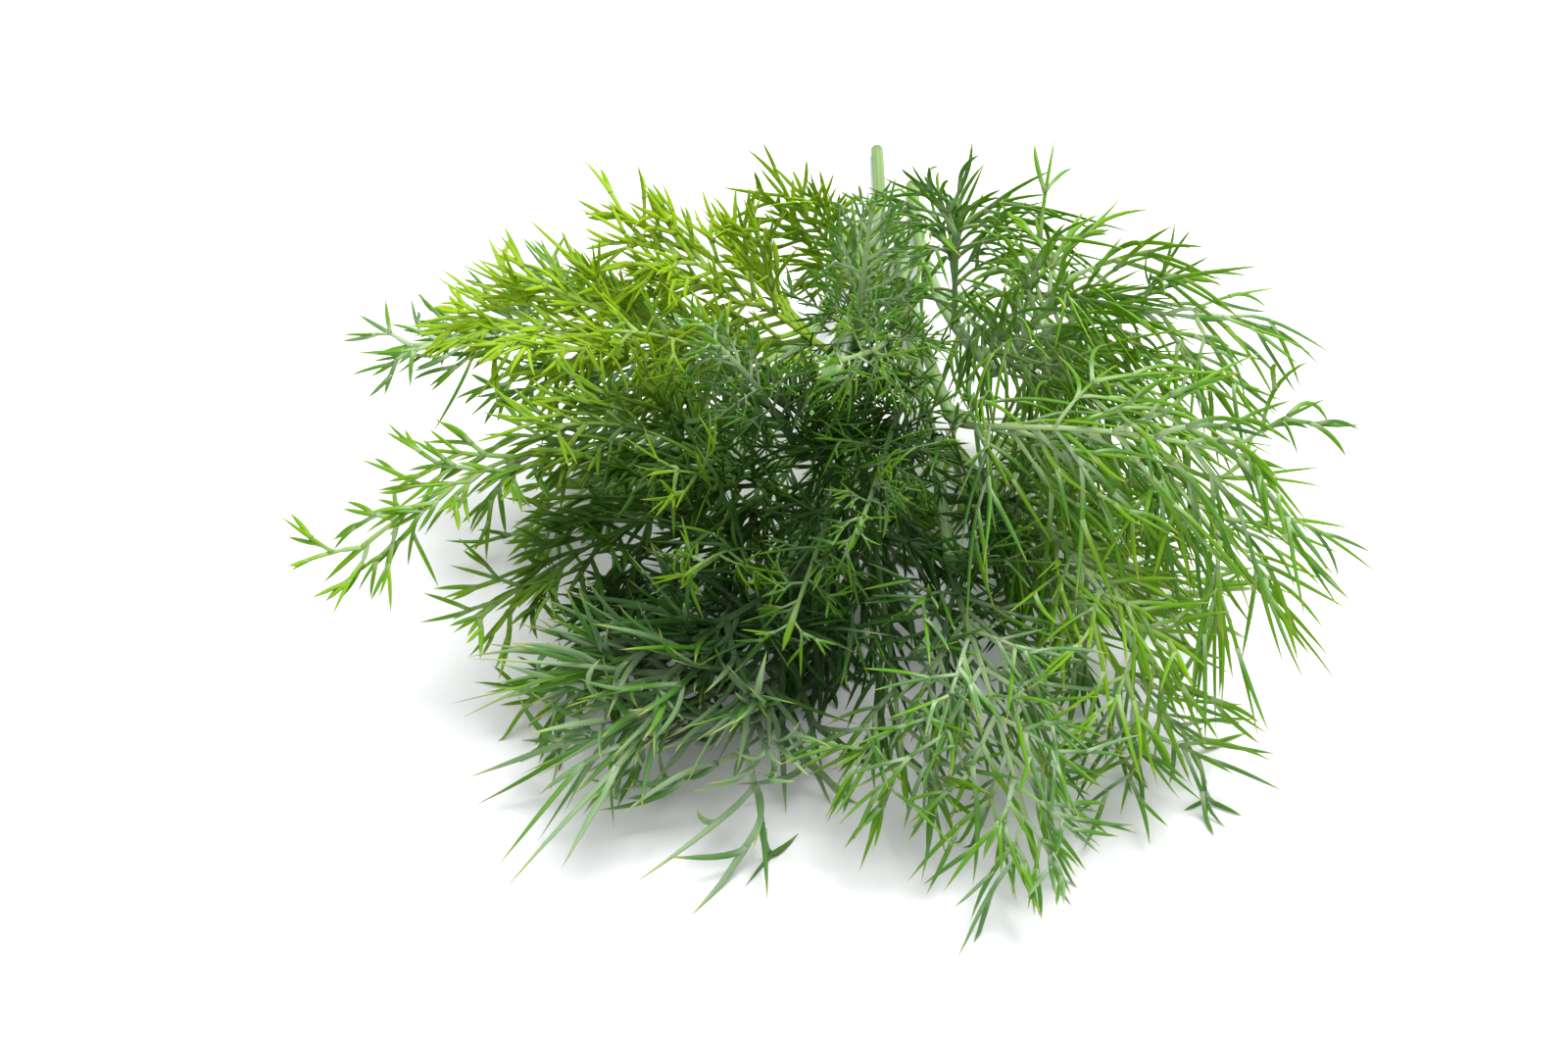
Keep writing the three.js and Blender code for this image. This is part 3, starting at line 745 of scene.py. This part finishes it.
class Tree:
    """The node tree of one new material."""

    def __init__(self, name):
        self.material = bpy.data.materials.new(name)
        self.material.use_nodes = True
        self.nodes = self.material.node_tree.nodes
        self.links = self.material.node_tree.links
        self.nodes.clear()

    def node(self, kind, settings=None, inputs=None, output=0):
        made = self.nodes.new(kind)
        for key, value in (settings or {}).items():
            if key == "stops":
                self.set_stops(made.color_ramp, value)
            else:
                setattr(made, key, value)
        for key, value in (inputs or {}).items():
            socket = made.inputs[key]
            if isinstance(value, Socket):
                self.links.new(value.socket, socket)
            else:
                socket.default_value = value
        return Socket(self, made.outputs[output]) if made.outputs else None

    @staticmethod
    def set_stops(ramp, stops):
        while len(ramp.elements) > 1:
            ramp.elements.remove(ramp.elements[-1])
        ramp.elements[0].position = stops[0][0]
        ramp.elements[0].color = (*stops[0][1], 1)
        for position, colour in stops[1:]:
            ramp.elements.new(position).color = (*colour, 1)

    def fact(self, name):
        return self.node("ShaderNodeAttribute", {"attribute_name": name}, output="Fac")

    def ramp(self, value, stops):
        return self.node("ShaderNodeValToRGB", {"stops": stops}, {"Fac": value}, "Color")

    def mix(self, factor, first, second):
        """Two colours mixed by a factor. Each is a socket, or three numbers."""
        first, second = (c if isinstance(c, Socket) else (*c, 1) for c in (first, second))
        inputs = {MIX_FACTOR: factor, MIX_FIRST: first, MIX_SECOND: second}
        return self.node("ShaderNodeMix", {"data_type": "RGBA"}, inputs, MIX_RESULT)

    def noise(self, scale):
        place = self.node("ShaderNodeTexCoord", output="Object")
        inputs = {"Vector": place, "Scale": scale, "Detail": 3.0}
        return self.node("ShaderNodeTexNoise", None, inputs)

    def bump(self, scale, strength):
        """A fine unevenness of the skin."""
        inputs = {"Height": self.noise(scale), "Strength": strength, "Distance": BUMP_HEIGHT}
        return self.node("ShaderNodeBump", None, inputs)

    def surface(self, colour, roughness, shine, **more):
        inputs = {"Base Color": colour, "Roughness": roughness, "Specular IOR Level": shine}
        return self.node("ShaderNodeBsdfPrincipled", None, inputs | more, "BSDF")

    def finish(self, shader):
        self.node("ShaderNodeOutputMaterial", None, {"Surface": shader})
        return self.material


print("a tree can", ", ".join(name for name in vars(Tree) if not name.startswith("_")))

# %% [markdown]
# ## The green of the leaves
# Dill is two greens at once: a fresh yellow-green where the leaf is young or lit through, and a
# grey blue-green where a waxy bloom covers it. One flat green would look like plastic. Branches are
# paler than the threads that grow on them, and a thread ends in a yellow, sometimes brown, point.
# The frond's tone picks the place between the two greens, and the other facts vary each thread.
# Deep inside the bunch, the threads are darkened with painted shade.

# %% The colours of a leaf
LEAF_GREENS = [
    (0.0, (0.280, 0.410, 0.210)),
    (0.15, (0.090, 0.230, 0.050)),
    (0.35, (0.120, 0.300, 0.015)),
    (0.6, (0.180, 0.370, 0.008)),
    (1.0, (0.300, 0.480, 0.005)),
]
BLOOM_GREENS = [
    (0.0, (0.520, 0.640, 0.450)),
    (0.5, (0.500, 0.640, 0.330)),
    (1.0, (0.400, 0.580, 0.120)),
]
YELLOW_END = (0.52, 0.50, 0.10)
BROWN_POINT = (0.16, 0.06, 0.05)
# Painted shade: the dark green that leaves deep inside the bunch are mixed towards.
PAINTED_SHADE_GREEN = (0.006, 0.045, 0.001)
LIT_THROUGH = (0.22, 0.48, 0.01, 1)
print(len(LEAF_GREENS), "leaf greens and", len(BLOOM_GREENS), "bloom greens")

# %% Leaf material
PATCH_SCALE, CHANCE_OF_TONE, PATCH_OF_TONE = 60.0, 0.34, 0.30  # what shifts a frond's tone
WAXY_UNTIL, WAXY_MOST, LESS_WHERE_BRIGHT = 0.42, 0.85, 0.7
YELLOW_ALONG, YELLOW_MOST = (0.80, 1.0), 0.7
BROWN_ALONG, BROWN_CHANCE = (0.90, 0.99), (0.91, 0.94)
# The depths inside the bunch where the painted shade starts and where it is full, and how strong it
# gets.
PAINTED_SHADE_DEPTHS, PAINTED_SHADE_MOST = (0.08, 0.6), 0.9
LEAF_ROUGH, WAX_ROUGH, LEAF_SHINE = 0.44, 0.2, 0.15
THROUGH_SHARE = 0.22  # how much of the leaf's look is light from behind


def leaf_material():
    tree = Tree("dill_leaf")
    along, tone, chance, deep = (tree.fact(name) for name in FACTS)
    shift = (chance - 0.5) * CHANCE_OF_TONE
    shade = (tone + shift + (tree.noise(PATCH_SCALE) - 0.5) * PATCH_OF_TONE).clamped()
    body, bloom = tree.ramp(shade, LEAF_GREENS), tree.ramp(shade, BLOOM_GREENS)
    waxy = (1 - along.between(0.0, WAXY_UNTIL)) * (1 - shade * LESS_WHERE_BRIGHT)
    yellow = (along.between(*YELLOW_ALONG) * YELLOW_MOST).clamped()
    brown = (along.between(*BROWN_ALONG) * chance.between(*BROWN_CHANCE)).clamped()
    colour = tree.mix((waxy * WAXY_MOST).clamped(), body, bloom)
    colour = tree.mix(yellow, colour, YELLOW_END)
    colour = tree.mix(brown, colour, BROWN_POINT)
    # Painted shade: threads deep inside the bunch are mixed towards a dark green.
    colour = tree.mix(deep.between(*PAINTED_SHADE_DEPTHS) * PAINTED_SHADE_MOST, colour, PAINTED_SHADE_GREEN)
    rough, uneven = LEAF_ROUGH + waxy * WAX_ROUGH, tree.bump(scale=700.0, strength=0.25)
    skin = tree.surface(colour, rough, LEAF_SHINE, Normal=uneven)
    through = tree.node("ShaderNodeBsdfTranslucent", None, {"Color": LIT_THROUGH}, "BSDF")
    both = {0: THROUGH_SHARE, 1: skin, 2: through}
    return tree.finish(tree.node("ShaderNodeMixShader", None, both, "Shader"))


leaf = leaf_material()
for made in fronds.values():
    made.data.materials.append(leaf)
print(leaf.name, "has", len(leaf.node_tree.nodes), "nodes, on", len(fronds), "pieces")

# %% [markdown]
# ## The skin of the stems
# A stem is paler and duller than the leaves, with faint stripes where its ribs are, and its cut end
# shows pale pith. The stripes could be painted along a map, but on a stem the fact `chance` says
# how far around it a point lies, so a sine of it follows the ribs. `along` runs from the cut end to
# the top, and is below 0 on the pith.

# %% Stem material
STEM_GREENS = [
    (0.0, (0.090, 0.190, 0.040)),
    (0.5, (0.150, 0.260, 0.080)),
    (1.0, (0.240, 0.350, 0.150)),
]
PITH, PITH_FROM, PITH_FULL = (0.50, 0.54, 0.34), -0.2, -0.9
STRIPE_STRENGTH, PATCH_STRENGTH = 0.18, 0.5
STEM_ROUGH, PATCH_ROUGH, STEM_SHINE = 0.42, 0.15, 0.35


def stem_material():
    tree = Tree("dill_stem")
    along, turn = tree.fact("along"), tree.fact("chance")
    patch = tree.noise(90.0)
    stripe = (turn * (2 * math.pi * RIBS)).sine()
    shade = (0.5 + stripe * STRIPE_STRENGTH + (patch - 0.5) * PATCH_STRENGTH).clamped()
    colour = tree.mix(along.between(PITH_FROM, PITH_FULL), tree.ramp(shade, STEM_GREENS), PITH)
    rough, uneven = STEM_ROUGH + patch * PATCH_ROUGH, tree.bump(scale=500.0, strength=0.2)
    return tree.finish(tree.surface(colour, rough, STEM_SHINE, Normal=uneven))


stem_green = stem_material()
for made in stems.values():
    made.data.materials.append(stem_green)
print(stem_green.name, "has", len(stem_green.node_tree.nodes), "nodes, on", len(stems), "pieces")

# %% [markdown]
# ## Table
# The bunch lies on a plain pale table. A box would do as well, but only its upper side is ever
# seen, so one large square is enough. It is only staging, and not a piece of the object.

# %% Floor
TABLE_HALF = 3
TABLE_COLOUR = (0.86, 0.865, 0.875, 1)
corners = [(x * TABLE_HALF, y * TABLE_HALF, 0) for x, y in ((-1, -1), (1, -1), (1, 1), (-1, 1))]
floor_mesh = bpy.data.meshes.new("floor")
floor_mesh.from_pydata(corners, [], [(0, 1, 2, 3)])
floor = bpy.data.objects.new("floor", floor_mesh)
bpy.context.scene.collection.objects.link(floor)
table = Tree("pale_table")
table_top = table.surface(TABLE_COLOUR, roughness=0.6, shine=0.3)
floor_mesh.materials.append(table.finish(table_top))
print("the table is", 2 * TABLE_HALF, "m wide")

# %% [markdown]
# ## Light
# The room is bright. A single small lamp would draw hard black shadows between the threads. A broad
# soft lamp above and behind, a weak one in front, and a white room with a hint of blue all around
# leave the shadows open.

# %% Light
ROOM_COLOUR, ROOM_STRENGTH = (0.98, 0.99, 1.0, 1), 0.75
world = bpy.data.worlds.new("room")
world.use_nodes = True
background = world.node_tree.nodes["Background"]
background.inputs["Color"].default_value = ROOM_COLOUR
background.inputs["Strength"].default_value = ROOM_STRENGTH
bpy.context.scene.world = world


def soft_light(name, place, size, power):
    """A round lamp that points at the middle of the table."""
    lamp = bpy.data.lights.new(name, "AREA")
    lamp.shape, lamp.size, lamp.energy = "DISK", size, power
    made = bpy.data.objects.new(name, lamp)
    bpy.context.scene.collection.objects.link(made)
    made.location = place
    x, y, z = -np.array(place)
    made.rotation_euler = (math.atan2(math.hypot(x, y), -z), 0, math.atan2(y, x) - math.pi / 2)
    print(name, "gives", power, "W")


soft_light("window", (0.5, 0.6, 1.5), size=1.2, power=47)
soft_light("front_fill", (-0.6, -1.3, 1.4), size=1.4, power=9)

# %% [markdown]
# ## Camera
# The bunch is seen from the front and well above, across its leaves to the cut ends. A wide lens
# close by would stretch the front fronds, so a longer lens looks from half a metre away. It aims at
# the point on the table that the plan of the plant is drawn from.

# %% Camera
LENS, SENSOR = 70, 36
NEAREST = 0.01
ELEVATION = math.radians(38)
AWAY = 0.5
camera_data = bpy.data.cameras.new("camera")
camera_data.lens, camera_data.sensor_width, camera_data.clip_start = LENS, SENSOR, NEAREST
camera = bpy.data.objects.new("camera", camera_data)
bpy.context.scene.collection.objects.link(camera)
away = AWAY * np.array([0, -math.cos(ELEVATION), math.sin(ELEVATION)])
camera.location = MOVE / 1000 + away
camera.rotation_euler = (math.pi / 2 - ELEVATION, 0, 0)
bpy.context.scene.camera = camera
bpy.context.scene.view_settings.view_transform = "Standard"
print("camera at", [round(value, 3) for value in camera.location])

# %% [markdown]
# ## Sizes, and the end
# The real bunch has one size, and the packed model states it.
